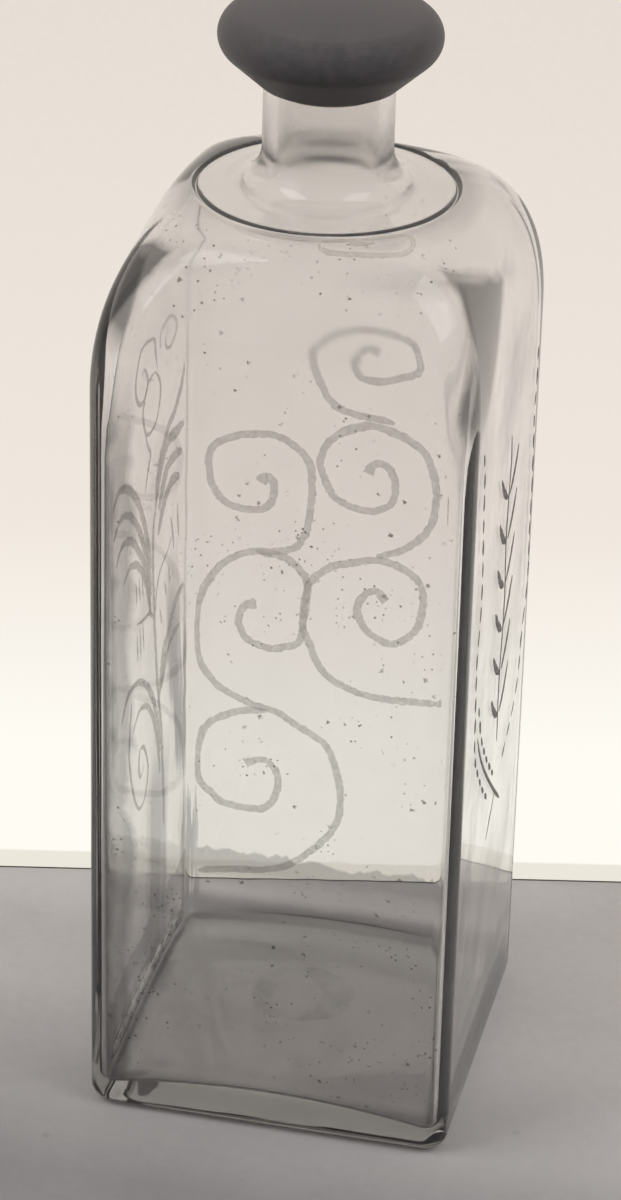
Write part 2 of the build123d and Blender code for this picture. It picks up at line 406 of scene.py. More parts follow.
def inner_levels(glass):
    """Levels of the inside, from the lip down to the middle of the floor."""
    levels = lip_levels(glass, glass.bore_radius, 1)[::-1]
    ring_level = glass.panel_height + glass.shoulder_rise - glass.shoulder_wall
    disc_level = ring_level + glass.disc_rise
    bore_foot = disc_level + glass.bore_root
    bore_run = glass.lip_level - glass.lip_rounding - bore_foot
    levels += [circle_level(bore_foot + bore_run * (1 - share), glass.bore_radius) for share in NECK_SHARES]
    levels += root_levels(disc_level, glass.bore_radius, glass.bore_root, BORE_ROOT_STEPS)[::-1]
    root_radius = glass.bore_radius + glass.bore_root
    for share in INNER_DISC_SHARES:
        radius = root_radius + (glass.inner_ring_radius - root_radius) * share
        levels.append(circle_level(disc_level - glass.disc_rise * share, radius))
    half = glass.half_width - glass.panel_wall
    ring = glass.inner_ring_radius
    rise = ring_level - glass.panel_height
    for step in reversed(arc_steps(INNER_SHOULDER_STEPS)[:-1]):
        height = glass.panel_height + rise * sin(step)
        levels.append((height, half, inner_rounding(glass, height), ring, cos(step)))
    run = glass.panel_height - glass.base_thickness - glass.floor_fillet
    for step in range(1, PANEL_STEPS + 1):
        height = glass.panel_height - run * step / PANEL_STEPS
        levels.append((height, half, inner_rounding(glass, height), ring, 1.0))
    for step in reversed(arc_steps(FLOOR_FILLET_STEPS)[:-1]):
        inset = glass.floor_fillet * (1 - sin(step))
        height = glass.base_thickness + glass.floor_fillet * (1 - cos(step))
        levels.append((height, half - inset, glass.inner_corner - inset, ring, 1.0))
    flat_corner = glass.inner_corner - glass.floor_fillet
    for share in FLOOR_SHARES:
        reach = (half - glass.floor_fillet) * share
        fullness = ramp(share, ROUND_FLOOR_SHARE, 1.0)
        corner = reach + (flat_corner - reach) * fullness
        height = glass.base_thickness + glass.punt_bump * soft_ramp(reach, glass.bump_radius, 0.0)
        levels.append((height, reach, corner, reach, fullness))
    return levels


def floor_swell(glass, x, y):
    """How far the floor has climbed, at a place on it."""
    ball = (glass.floor_spread ** 2 + glass.floor_dome ** 2) / (2 * glass.floor_dome)
    away = min(hypot(x, y), glass.floor_spread)
    return sqrt(ball ** 2 - away ** 2) - (ball - glass.floor_dome)


def unevenness(glass, place):
    """A slow, seeded swelling of the blown glass, and the upright folds of its left side."""
    slow = noise.noise(place * SWELLS_PER_METRE + SWELL_SEED)
    along, up = FOLDS_PER_METRE
    fold = noise.noise(Vector((place.y * along, place.z * up, FOLD_SEED)))
    folded = ramp(-place.x, *[glass.half_width * share for share in FOLDED_SIDE])
    folded *= ramp(place.y, -glass.half_width, 0.0)
    folded *= ramp(place.z, glass.panel_height, glass.panel_height * FOLD_TOP)
    return (glass.waviness * (1 + slow) + glass.folds * (1 + fold) * folded) / 2


def extruded(mesh_work, edges):
    """Extrudes edges and gives the new points and the new edges between them."""
    made = bmesh.ops.extrude_edge_only(mesh_work, edges=edges)["geom"]
    verts = {item for item in made if isinstance(item, bmesh.types.BMVert)}
    joined = [item for item in made if isinstance(item, bmesh.types.BMEdge) and verts.issuperset(item.verts)]
    return verts, joined


def stack_levels(levels, inside_from, glass):
    """Extrudes a closed ring from level to level and closes both ends with a fan."""
    count = len(level_outline(1.0, 0.5, 1.0, 0.0))
    mesh_work = bmesh.new()
    turn_of = mesh_work.verts.layers.int.new("turn")
    bmesh.ops.create_circle(mesh_work, cap_ends=True, cap_tris=True, segments=count, radius=1.0)
    middle = max(mesh_work.verts, key=lambda vert: len(vert.link_edges))
    ring = [vert for vert in mesh_work.verts if vert is not middle]
    ring.sort(key=lambda vert: (Vector((vert.co.y, -vert.co.x)).angle_signed(Vector((0, -1)))) % (2 * pi))
    for place, vert in enumerate(ring):
        vert[turn_of] = place
    middle.co = (0.0, 0.0, levels[0][0])
    edges = [edge for edge in mesh_work.edges if middle not in edge.verts]
    fade_start, fade_end = (glass.base_thickness * share for share in SWELL_FADE)
    for number, (height, *shape) in enumerate(levels):
        outline = level_outline(*shape)
        if number:
            ring, edges = extruded(mesh_work, edges)
        for vert in ring:
            x, y = outline[vert[turn_of]]
            vert.co = (x, y, height)
            if number >= inside_from:
                vert.co -= Vector((x, y, 0.0)).normalized() * unevenness(glass, Vector((x, y, height)))
                vert.co.z += floor_swell(glass, x, y) * ramp(height, fade_start, fade_end)
    closing = bmesh.ops.edgeloop_fill(mesh_work, edges=edges)["faces"]
    bmesh.ops.poke(mesh_work, faces=closing)
    return mesh_work


def spin_profile(profile, steps):
    """Turns an open or closed line of (radius, height) points round the upright axis."""
    mesh_work = bmesh.new()
    verts = [mesh_work.verts.new((radius, 0.0, height)) for radius, height in profile]
    edges = [mesh_work.edges.new(pair) for pair in zip(verts, verts[1:])]
    bmesh.ops.spin(
        mesh_work,
        geom=verts + edges,
        cent=(0.0, 0.0, 0.0),
        axis=(0.0, 0.0, 1.0),
        angle=2 * pi,
        steps=steps,
        use_merge=True,
    )
    return mesh_work


# Cut ornament, in millimetres on each side: the first number runs across it, the second is the height

BACK_SCROLLS = (
    ((5.1, 175.1), (2.0, 175.9), (-0.5, 173.1), (-1.2, 170.8), (0.7, 167.7), (5.8, 167.3), (10.9, 169.0),
     (15.2, 171.2), (15.0, 176.1), (13.3, 179.2), (7.9, 181.0), (1.8, 181.3), (-5.1, 179.4), (-9.1, 176.4),
     (-11.9, 173.3), (-11.5, 169.5), (-8.7, 162.4), (-5.5, 158.9), (-1.4, 157.2), (6.2, 156.5), (9.3, 155.8)),
    ((3.0, 141.8), (4.5, 144.5), (7.6, 144.7), (9.7, 141.6), (10.1, 137.4), (9.0, 133.8), (4.9, 131.6),
     (0.7, 131.6), (-4.9, 133.7), (-8.2, 139.2), (-9.3, 144.1), (-6.9, 149.5), (-2.8, 152.8), (4.1, 154.6),
     (11.4, 153.0), (17.0, 149.8), (19.8, 144.0), (20.8, 137.7), (19.5, 129.0), (15.3, 123.6), (10.5, 120.3),
     (5.8, 118.8)),
    ((8.8, 106.2), (5.6, 108.7), (2.5, 106.5), (1.2, 102.8), (2.7, 98.6), (6.0, 95.3), (10.8, 93.9),
     (15.2, 96.9), (17.7, 101.3), (18.5, 108.2), (16.7, 113.4), (11.6, 116.7), (5.3, 117.6), (-0.7, 115.9),
     (-6.5, 113.6), (-10.6, 109.6), (-11.6, 108.0), (-12.8, 102.0), (-12.7, 95.8), (-11.2, 91.3),
     (-9.5, 86.8), (-6.2, 82.2), (-0.8, 79.5), (4.9, 77.9), (14.0, 77.5), (23.9, 77.7)),
    ((-24.6, 135.6), (-23.1, 137.8), (-21.2, 135.5), (-21.6, 130.8), (-24.0, 128.2), (-28.4, 127.3),
     (-33.8, 128.6), (-37.5, 132.7), (-38.7, 138.0), (-37.7, 143.8), (-33.5, 146.9), (-28.3, 148.7),
     (-21.2, 149.3), (-15.4, 146.7), (-11.9, 142.7), (-11.2, 136.8), (-11.6, 129.9), (-12.5, 123.5),
     (-15.3, 118.2), (-20.6, 116.3), (-25.9, 115.6), (-30.9, 113.7), (-35.7, 109.6), (-39.6, 102.9),
     (-41.0, 97.3), (-41.4, 90.3), (-40.6, 82.8), (-36.9, 76.5), (-31.9, 73.0), (-25.1, 70.4), (-19.7, 69.4),
     (-15.3, 66.8), (-10.1, 63.9), (-6.2, 61.5), (-3.6, 56.1), (-1.8, 48.4), (-1.6, 42.3), (-2.9, 36.8),
     (-5.5, 32.7), (-9.8, 27.7), (-16.0, 22.6), (-24.2, 20.0), (-31.7, 19.1), (-40.0, 17.5)),
    ((-25.6, 100.7), (-28.5, 99.7), (-30.1, 95.7), (-29.0, 91.7), (-26.2, 89.1), (-21.1, 88.1), (-16.8, 89.3),
     (-13.6, 91.5), (-12.5, 98.8), (-11.9, 108.0), (-13.6, 111.5), (-17.9, 114.9), (-25.9, 115.6)),
    ((-27.8, 52.4), (-26.2, 53.2), (-22.6, 54.1), (-19.9, 51.8), (-18.7, 47.6), (-19.7, 42.6), (-22.4, 39.3),
     (-27.6, 38.8), (-33.7, 39.7), (-38.1, 43.4), (-40.4, 46.6), (-40.8, 53.0), (-40.0, 58.7), (-37.3, 63.5),
     (-32.9, 66.5), (-27.5, 68.6), (-22.4, 69.0)),
)
# The link on the front of the shoulder, by its place across and its distance from the axis
FRONT_LINK = (
    ((6.2, 32.6), (11.0, 31.2), (16.0, 29.2), (21.0, 26.2), (24.0, 24.8), (26.0, 26.6), (26.6, 29.8),
     (24.8, 31.9), (20.5, 33.1), (16.7, 33.9), (12.5, 34.6), (8.8, 34.9), (6.4, 34.4), (6.0, 33.2)),
    ((12.4, 32.0), (15.2, 31.2), (18.0, 30.2)),
)

# Each stroke of the spray and its width as a share of the widest leaf
LEFT_SPRAY = (
    (0.26, ((13, 184), (13, 188), (19, 189.5), (24, 188.5), (28, 185), (27, 182), (22, 180.5), (18, 182.5),
            (18, 185), (21, 186))),
    (0.3, ((10, 180), (8, 186), (7, 189), (1, 191), (-5, 191), (-9, 187), (-10, 183), (-8, 179), (-4, 177),
           (0, 178), (1, 181), (-2, 185), (-4, 184))),
    (0.3, ((8, 180), (3, 180), (-1, 178), (-3, 174), (-1, 168), (3, 166), (8, 166), (11, 168), (13, 172),
           (12, 176), (8, 180))),
    (0.3, ((-1, 168), (1, 164), (4, 160), (2, 157), (-1, 152))),
    (0.75, ((36, 170), (35, 167), (32, 164), (26, 161), (21, 160), (16, 157), (13, 154), (10, 149),
            (9, 143))),
    (1.0, ((36, 154), (28, 155), (21, 156), (16, 154), (12, 150), (10, 145))),
    (1.0, ((34, 147), (27, 149), (20, 149), (16, 146), (12, 141))),
    (1.0, ((32, 141), (25, 143), (20, 142), (15, 139), (12, 134))),
    (0.6, ((-30, 160), (-25, 163), (-18, 161), (-9, 154), (-3, 146), (1, 138), (5, 128))),
    (0.55, ((-29, 152), (-24, 155), (-16, 153), (-8, 146), (-2, 138), (3, 128), (6, 120))),
    (0.55, ((-27, 144), (-22, 147), (-14, 145), (-6, 138), (0, 130), (5, 118))),
    (0.5, ((-20, 136), (-15, 138), (-9, 136), (-3, 131), (2, 124), (6, 114))),
    (0.42, ((9, 143), (7, 138), (7, 129), (8, 120), (9, 112), (10, 106), (11, 97), (13, 87), (16, 74),
            (18, 60), (19, 46))),
    (0.3, ((25, 127), (20, 125), (14, 123), (11, 119), (9, 113), (4, 116), (-2, 117), (-8, 119))),
    (0.5, ((-22, 98), (-16, 103), (-7, 102), (1, 97), (8, 89), (12, 80), (15, 70))),
    (0.42, ((-12, 90), (-6, 93), (1, 91), (7, 85), (12, 75), (15, 64))),
    (0.85, ((37, 108), (30, 107), (24, 103), (18, 98), (16, 92), (13, 86))),
    (0.7, ((34, 98), (26, 98), (20, 95), (16, 88))),
    (0.28, ((-13, 99), (-15, 86), (-12, 74), (-6, 65), (0, 65), (3, 72), (-1, 80), (-5, 81), (-6, 77),
            (-4, 73), (-1, 75))),
    (0.35, ((24, 133), (26, 128), (27, 123))),
    (0.35, ((30, 134), (31, 128), (32, 124))),
    (0.35, ((18, 118), (20, 113))),
    (0.35, ((22, 120), (24, 115))),
    (0.35, ((14, 112), (16, 107))),
    (0.3, ((-9, 131), (-8, 124))),
    (0.3, ((-6, 131), (-5, 124))),
    (0.3, ((-3, 131), (-2, 124))),
    (0.3, ((-8, 116), (-7, 108))),
    (0.3, ((-5, 117), (-4, 107))),
    (0.3, ((-2, 116), (-1, 108))),
)

# The dashed shield on the right side, its closing strokes, and the plain sprig inside it
RIGHT_SHIELD = (
    ((-33, 188), (-31, 181), (-30, 170), (-28, 155), (-28, 143), (-30, 132), (-29, 119), (-27, 105),
     (-21.5, 96.7), (-13.7, 87.9), (-5.6, 80.6)),
    ((-24.4, 116.5), (-18.4, 104.6), (-9.8, 94.4), (1.1, 84.0)),
    ((37, 185), (37, 175), (36, 167), (38, 149), (38, 133), (39, 120), (34, 107), (32, 97), (28, 91),
     (22, 87), (16, 84), (9, 80)),
)
RIGHT_TAIL = (
    ((-24, 107.6), (-19, 100), (-10, 90.3), (2, 79.5), (12, 71.2)),
    ((4.3, 77.2), (0.1, 73.4), (-5.4, 68.8)),
)
SPRIG_STEM = ((4, 92), (3, 110), (5, 130), (3, 150), (5, 168), (4, 176))
SPRIG_LEAF = ((0.0, 0.0), (5.0, 3.4), (10.0, 9.0))
SPRIG_LEVELS = (100, 112, 124, 136, 148, 160)
# The leaves stand on short stalks, to both sides of the sprig's middle
SPRIG_MIDDLE = 4
SPRIG_STALK = 1

# How often the search for a height on the shoulder halves its range
HALVINGS = 30
STROKE_STEP = 0.7 * MM
# Dashes are cut from a path of such steps, and are so long and so far apart, in millimetres
DASH_STEP = 0.5
DASH_LENGTH = 4.0
DASH_GAP = 2.2
# A stroke's tips: their least width, and how fast they widen, by the number of steps in the stroke
TIP_SHARE = 0.35
TIP_SPEED = 0.16
# How long a blob at a stroke's first tip is, in widths of the stroke
BLOB_LENGTH = 1.5
# How ragged a stroke's edges are, and the places of the noise that they read
RAGGED_SHARE = 0.42
RAGGED_STEPS = (1.37, 3.7, 5.3)
# The first seed of each piece's strokes
SEEDS = {"link": 20, "spray": 40, "shield": 80}
# The white line's points along the floor's edge, as shares of the inside, and its height over the floor's
# foot
WHITE_LINE_SHARES = (-0.8, -0.4, 0.0, 0.4, 0.85)
WHITE_LINE_RISE = 2.0


def smooth_path(points, step):
    """A rounded run through the given points, cut into short even steps."""
    tips = [points[0]] + list(points) + [points[-1]]
    run = []
    for before, start, end, after in zip(tips, tips[1:], tips[2:], tips[3:]):
        before, start, end, after = (Vector(point) for point in (before, start, end, after))
        pieces = max(2, int((end - start).length / step))
        for piece in range(pieces):
            t = piece / pieces
            bend = (2 * before - 5 * start + 4 * end - after) * t ** 2
            twist = (3 * start - 3 * end + after - before) * t ** 3
            run.append(0.5 * (2 * start + (end - before) * t + bend + twist))
    run.append(Vector(points[-1]))
    return run


def wall_depth(glass, across, height):
    """How far the outside of a side is from the axis, at a place on it."""
    if height <= glass.panel_height:
        return glass.half_width
    climb = asin(min(1.0, (height - glass.panel_height) / glass.shoulder_rise))
    shape = (glass.half_width, glass.corner_radius, glass.ring_radius, cos(climb))
    middle, reach, turn = outline_terms(*shape)[:3]
    return bow(middle, turn, min(1.0, abs(across) / reach), abs(across))


def shoulder_height(glass, across, away):
    """The height at which a side of the shoulder has come in to a distance from the axis."""
    low, high = glass.panel_height, glass.panel_height + glass.shoulder_rise
    for _ in range(HALVINGS):
        height = (low + high) / 2
        if wall_depth(glass, across, height) > away:
            low = height
        else:
            high = height
    return low


def cut_stroke(mesh_work, points, width, lay, taper, seed, spread=1.0, blob=0.0):
    """Extrudes one ribbon along a path on a side of the bottle, narrowing to its tips.

    The spread widens it along the side only, and the blob swells its first tip.
    """
    path = smooth_path([(x * MM, z * MM) for x, z in points], STROKE_STEP)
    along_noise, seed_noise, side_noise = RAGGED_STEPS
    edge = None
    for number, spot in enumerate(path):
        ahead = path[min(number + 1, len(path) - 1)] - path[max(number - 1, 0)]
        across = Vector((-ahead.y, ahead.x)).normalized()
        across.x *= spread
        share = number / (len(path) - 1)
        far_tip = 1 - share if blob else min(share, 1 - share)
        swell = min(1.0, TIP_SHARE + taper * far_tip * len(path) * TIP_SPEED)
        swell += blob * max(0.0, 1 - number * STROKE_STEP / (width * BLOB_LENGTH))
        places = []
        for side in (1, -1):
            seeded = Vector((number * along_noise, seed * seed_noise, side * side_noise))
            ragged = 1.0 + RAGGED_SHARE * noise.noise(seeded)
            places.append(lay(spot + across * (side * width * swell * ragged / 2)))
        if edge is None:
            edge = mesh_work.edges.new([mesh_work.verts.new(place) for place in places])
            continue
        first = edge.verts[0]
        (edge,) = extruded(mesh_work, [edge])[1]
        ends = edge.verts
        lead = next(end for end in ends if any(link.other_vert(end) is first for link in end.link_edges))
        lead.co = places[0]
        edge.other_vert(lead).co = places[1]


def dashes_along(points):
    """Cuts a path into short dashes."""
    path = smooth_path(points, DASH_STEP)
    dash_points = max(2, int(DASH_LENGTH / DASH_STEP))
    stride = dash_points + max(1, int(DASH_GAP / DASH_STEP))
    starts = range(0, len(path) - dash_points, stride)
    return [(path[start], path[start + dash_points // 2], path[start + dash_points]) for start in starts]


def thicken_strokes(mesh_work, depth):
    """Gives the ribbons the thickness of the frosted layer, into the glass."""
    bmesh.ops.recalc_face_normals(mesh_work, faces=mesh_work.faces)
    bmesh.ops.solidify(mesh_work, geom=mesh_work.faces[:], thickness=depth)


# Materials


class NodeWeb:
    """Makes and joins the nodes of one material, node group or world."""

    def __init__(self, tree):
        self.tree = tree

    def fill(self, node, inputs):
        """Sets each named input of a node to a value, or links it to a socket."""
        for name, value in inputs.items():
            if hasattr(value, "is_linked"):
                self.tree.links.new(value, node.inputs[name])
            else:
                node.inputs[name].default_value = value

    def add(self, kind, inputs, output, **settings):
        """Adds a node with its inputs and settings, and gives one of its outputs."""
        node = self.tree.nodes.new("ShaderNode" + kind)
        for name, value in settings.items():
            setattr(node, name, value)
        self.fill(node, inputs)
        return node.outputs[output]

    def place(self):
        """The Object coordinates."""
        return self.add("TexCoord", {}, "Object")

    def split(self, vector):
        """The three parts of a vector."""
        node = self.tree.nodes.new("ShaderNodeSeparateXYZ")
        self.fill(node, {"Vector": vector})
        return node.outputs

    def group(self, tree, vector):
        """The outputs of one use of a node group."""
        node = self.tree.nodes.new("ShaderNodeGroup")
        node.node_tree = tree
        self.fill(node, {"Vector": vector})
        return node.outputs

    def noise(self, vector, scale, detail=3.0, roughness=0.55):
        """A noise texture read from a vector."""
        inputs = {"Vector": vector, "Scale": scale, "Detail": detail, "Roughness": roughness}
        return self.add("TexNoise", inputs, "Fac")

    def cells(self, vector, scale):
        """How far a place is from the middle of its cell."""
        return self.add("TexVoronoi", {"Vector": vector, "Scale": scale}, "Distance")

    def stretch(self, vector, scale):
        """A vector with its axes scaled, which draws a pattern out."""
        return self.add("Mapping", {"Vector": vector, "Scale": scale}, "Vector")

    def span(self, value, low, high, to_low=0.0, to_high=1.0):
        """Maps a range of values to another and clamps it."""
        inputs = {"Value": value, "From Min": low, "From Max": high, "To Min": to_low, "To Max": to_high}
        return self.add("MapRange", inputs, "Result")

    def mix(self, factor, first, second, **settings):
        """Mixes two colours by a mask. A colour may be a value or a socket."""
        colours = [shade if hasattr(shade, "is_linked") else (*shade, 1.0) for shade in (first, second)]
        inputs = {"Factor": factor, 6: colours[0], 7: colours[1]}
        return self.add("Mix", inputs, 2, data_type="RGBA", **settings)

    def work(self, kind, first, *others):
        """One kind of sum, from the first value on. A value may be a number or a socket."""
        for other in others:
            first = self.add("Math", {0: first, 1: other}, "Value", operation=kind)
        return first

    def times(self, *values):
        """The product of some values."""
        return self.work("MULTIPLY", *values)

    def plus(self, *values):
        """The sum of some values."""
        return self.work("ADD", *values)

    def less(self, first, second):
        """What is left of a value when another is taken from it."""
        return self.work("SUBTRACT", first, second)

    def most(self, *values):
        """The largest of some values."""
        return self.work("MAXIMUM", *values)

    def size(self, value):
        """A value without its sign."""
        return self.work("ABSOLUTE", value, 0.0)

    def bump(self, height, strength, distance):
        """A normal that leans with the slope of a height."""
        return self.add("Bump", {"Height": height, "Strength": strength, "Distance": distance}, "Normal")


def material_start(name):
    """A new node material, its web of nodes and its Principled shader."""
    material = bpy.data.materials.new(name)
    material.use_nodes = True
    return material, NodeWeb(material.node_tree), material.node_tree.nodes["Principled BSDF"]


def group_start(name, outputs):
    """The web of a new node group that reads a vector and puts out values, its vector and its end."""
    tree = bpy.data.node_groups.new(name, "ShaderNodeTree")
    tree.interface.new_socket(name="Vector", in_out="INPUT", socket_type="NodeSocketVector")
    for label in outputs:
        tree.interface.new_socket(name=label, in_out="OUTPUT", socket_type="NodeSocketFloat")
    vector = tree.nodes.new("NodeGroupInput").outputs["Vector"]
    return NodeWeb(tree), vector, tree.nodes.new("NodeGroupOutput")


def shaded(shade, share):
    """A colour made darker or paler by a share."""
    return [part * share for part in shade]


# Cells per metre, dot size in cells, patches per metre and how rare the patches are
SPECKS = ((150.0, 0.27, 30.0, 0.53), (420.0, 0.31, 42.0, 0.56), (75.0, 0.22, 25.0, 0.60))


def speck_group():
    """Masks of dirt specks and of a thin film, shared by the glass and the cut strokes."""
    web, vector, end = group_start("Specks and Film", ("Specks", "Haze"))
    ragged = web.times(web.noise(vector, 1300.0), 0.34)
    found = 0.0
    for cell_scale, dot_size, patch_scale, patch_low in SPECKS:
        dot = web.span(web.plus(web.cells(vector, cell_scale), ragged), dot_size, dot_size * 0.8)
        sparse = web.span(web.noise(vector, patch_scale), patch_low, patch_low + 0.05)
        found = web.most(web.times(dot, sparse), found)
    web.fill(end, {"Specks": found, "Haze": web.span(web.noise(vector, 60.0, 8.0, 0.75), 0.46, 0.72)})
    return web.tree


# Each patch of painted shade, where the glass's refraction darkens it, has its strength and the bands that
# bound it; so has the dried line of drink, a stain. A band names what it reads, and goes from clear at its
# first value to full at its second, in metres, or between two strengths if it gives them
SHADE_AND_STAIN_PATCHES = {
    "right hip": (
        0.82, ("x", -0.01, 0.01), ("past right start", 0.0, 0.002), ("past end", 0.003, -0.003),
        ("leaning", 0.2325, 0.2305), ("z", 0.182, 0.2), ("y", 0.012, -0.004),
    ),
    "left hip": (
        0.95, ("x", 0.01, -0.01), ("past left start", 0.0, 0.002), ("past end", 0.003, -0.003),
        ("leaning", 0.2325, 0.2305), ("z", 0.182, 0.2), ("y", 0.012, -0.004),
        ("in from corner", -0.0045, -0.0025), ("z", 0.204, 0.213),
    ),
    "bend of the shoulder": (
        1.0, ("from bend", 0.0026, 0.0), ("across", 0.010, 0.034, 0.0, 0.34), ("y", -0.02, -0.034),
    ),
    "left front corner": (
        1.0, ("past ridge", -0.0078, -0.0060, 0.0, 0.6), ("past ridge", 0.006, 0.002), ("x", 0.01, -0.01),
        ("y", 0.0, -0.02), ("z", 0.205, 0.185), ("widest", 0.0372, 0.039),
    ),
    "beside the ring": (
        0.43, ("away", 0.040, 0.033), ("away", 0.0300, 0.0308), ("across", 0.014, 0.03),
        ("z", 0.2325, 0.2345),
    ),
    "foot": (0.48, ("widest", 0.0395, 0.0415), ("z", 0.0125, 0.0095)),
    "dried line of drink": (
        0.62, ("over dried line", 0.0, -0.0008), ("z", 0.014, 0.021), ("widest", 0.0405, 0.0415),
        ("widest", 0.0445, 0.0435), ("y", -0.038, -0.03),
    ),
    # Painted shade: a mottled dark ring on the inner floor round the punt, where the punt's bump darkens it
    "painted shade round the punt": (
        0.48, ("from punt middle", 0.0045, 0.0103), ("from punt middle", 0.0134, 0.0124), ("mottle", 0.40, 0.60, 0.25, 1.0),
        ("z", 0.0085, 0.0105), ("z", 0.03, 0.02),
    ),
}
# For each streak of painted shade on the left side: its place at the foot, its lean, half width, ends and
# strength
SHADE_STREAKS = (
    (0.010, 0.02, 0.010, -0.02, 0.078, 0.55),
    (0.048, -0.218, 0.006, 0.05, 0.128, 0.75),
    (0.0465, -0.13, 0.0020, 0.048, 0.11, 0.9),
    (0.040, 0.0, 0.0016, 0.002, 0.05, 0.7),
    (-0.028, -0.03, 0.0025, 0.09, 0.185, 0.3),
    (-0.018, 0.0, 0.004, -0.02, 0.05, 0.2),
)
DUST_PATCHES = {
    "neck": (1.0, ("z", 0.236, 0.245), ("cloud", 0.35, 0.65, 0.5, 1.0), ("z", 0.25, 0.262, 1.0, 0.6)),
    "shoulder": (0.45, ("z", 0.185, 0.215), ("cloud", 0.35, 0.65, 0.5, 1.0)),
    "sides": (0.45, ("across", 0.036, 0.042), ("cloud", 0.35, 0.65, 0.5, 1.0)),
}


def shade_stain_and_dust_group(glass):
    """Masks of painted shade, where the glass's refraction darkens it, with the dried line of drink, and of
    the dust.
    """
    web, vector, end = group_start("Shade Stain and Dust", ("Shade and Stain", "Dust"))
    x, y, z = web.split(vector)

    def swing(scale, reach, stretch=(1.0, 1.0, 1.0), detail=3.0):
        """A noise that swings about nought, up to a reach."""
        return web.times(web.less(web.noise(web.stretch(vector, stretch), scale, detail), 0.5), reach)

    def patches(table):
        """The strongest of some patches."""
        found = 0.0
        for strength, *bands in table:
            for what, *ends in bands:
                strength = web.times(strength, web.span(read[what], *ends))
            found = web.most(found, strength)
        return found

    wobble = swing(50.0, 0.008)
    across = web.size(x)
    ridge = web.plus(web.less(across, web.size(y)), wobble)
    height = web.plus(z, web.times(wobble, 0.6))
    level = web.add("CombineXYZ", {"X": x, "Y": y}, "Vector")
    away = web.add("VectorMath", {0: level}, "Value", operation="LENGTH")
    # The line of the shoulder's corner, seen from the side
    climb = web.work("DIVIDE", web.less(z, glass.panel_height), glass.shoulder_rise)
    curve = web.work("POWER", web.most(web.less(1.0, web.times(climb, climb)), 0.0), 0.5)
    corner_line = web.plus(glass.ring_radius, web.times(curve, 0.0305))
    read = {
        "x": x, "y": y, "z": z, "across": across, "away": away, "past ridge": ridge,
        "widest": web.most(across, web.size(y)),
        "leaning": web.plus(height, web.times(web.most(ridge, 0.0), 0.31)),
        "past right start": web.less(ridge, web.span(height, 0.2, 0.212, -0.001, 0.0045)),
        "past left start": web.less(ridge, web.span(height, 0.213, 0.2285, -0.004, -0.0095)),
        "past end": web.less(ridge, web.span(height, 0.19, 0.22, 0.006, 0.042)),
        "in from corner": web.less(away, corner_line),
        "from bend": web.size(web.less(height, 0.2295)),
        "over dried line": web.less(z, web.plus(0.0262, swing(90.0, 0.012, (1.0, 1.0, 0.2), 5.0))),
        "from punt middle": web.plus(away, wobble),
        "mottle": web.noise(vector, 90.0, 4.0),
        "cloud": web.noise(vector, 45.0, 6.0),
    }
    # The patches of painted shade, with the dried line of drink
    shade_and_stain = patches(SHADE_AND_STAIN_PATCHES.values())
    torn = swing(220.0, 0.02, (1.0, 1.0, 0.06))
    on_left_side = ("x", -0.036, -0.041)
    # Streaks of painted shade on the left side
    for foot_place, lean, half_width, low, high, strength in SHADE_STREAKS:
        middle = web.plus(foot_place, web.times(z, lean))
        read["aside"] = web.plus(web.size(web.less(y, middle)), torn)
        ends = (("z", high, high * 0.8), ("z", low, low + 0.01))
        shade_streak = (strength, ("aside", half_width, half_width * 0.6), *ends, on_left_side)
        shade_and_stain = web.most(shade_and_stain, patches([shade_streak]))
    web.fill(end, {"Shade and Stain": shade_and_stain, "Dust": patches(DUST_PATCHES.values())})
    return web.tree


def old_glass(colours, specks, shade_and_stain):
    """Clear old glass, slightly wavy, darkened by absorption where it is thick and by painted shade in
    patches, with specks, a dried line of drink, dust and a thin film of dirt.
    """
    material, web, shader = material_start("Old Clear Glass")
    vector = web.place()
    # depth holds the painted shade with the dried line of drink, and the dust
    dirt, depth = web.group(specks, vector), web.group(shade_and_stain, vector)
    colour = web.mix(dirt["Haze"], colours.glass, shaded(colours.glass, 0.97))
    for mask, shade in (
        (depth["Dust"], colours.dust),
        (depth["Shade and Stain"], colours.shade_and_stain),
        (dirt["Specks"], colours.grime),
    ):
        colour = web.mix(mask, colour, shade)
    hazy = web.span(dirt["Haze"], 0.0, 1.0, 0.0, 0.03)
    dusty = web.span(depth["Dust"], 0.2, 0.9, 0.0, 0.28)
    web.fill(shader, {
        "Base Color": colour,
        "Roughness": web.most(hazy, dusty),
        "Metallic": 0.0,
        "Transmission Weight": 0.97,
        "IOR": 1.5,
        "Normal": web.bump(web.noise(vector, 42.0, 2.0, 0.5), 0.12, 0.0006),
    })
    body = web.add("VolumeAbsorption", {"Color": (*colours.glass_body, 1.0), "Density": 10.0}, "Volume")
    web.fill(web.tree.nodes["Material Output"], {"Volume": body})
    return material


def frosted_cut(name, shade, grime, specks, thinnest, thickest):
    """The rough, see-through grey of a wheel cut."""
    material, web, shader = material_start(name)
    vector = web.place()
    grain = web.noise(vector, 900.0, 4.0, 0.7)
    pale = web.mix(web.span(grain, 0.35, 0.65), shaded(shade, 0.8), shaded(shade, 1.2))
    web.fill(shader, {
        "Base Color": web.mix(web.group(specks, vector)["Specks"], pale, grime),
        "Roughness": 0.85,
        "Alpha": web.span(grain, 0.35, 0.65, thinnest, thickest),
        "Normal": web.bump(grain, 0.4, 0.0002),
    })
    return material


def broken_white_line(shade):
    """A broken white line, see-through between its pieces."""
    material, web, shader = material_start("Broken White Line")
    breaks = web.noise(web.place(), 300.0, 5.0, 0.75)
    web.fill(shader, {
        "Base Color": web.mix(web.span(breaks, 0.4, 0.6), shaded(shade, 0.7), shade),
        "Roughness": 0.9,
        "Alpha": web.span(breaks, 0.40, 0.50),
    })
    return material


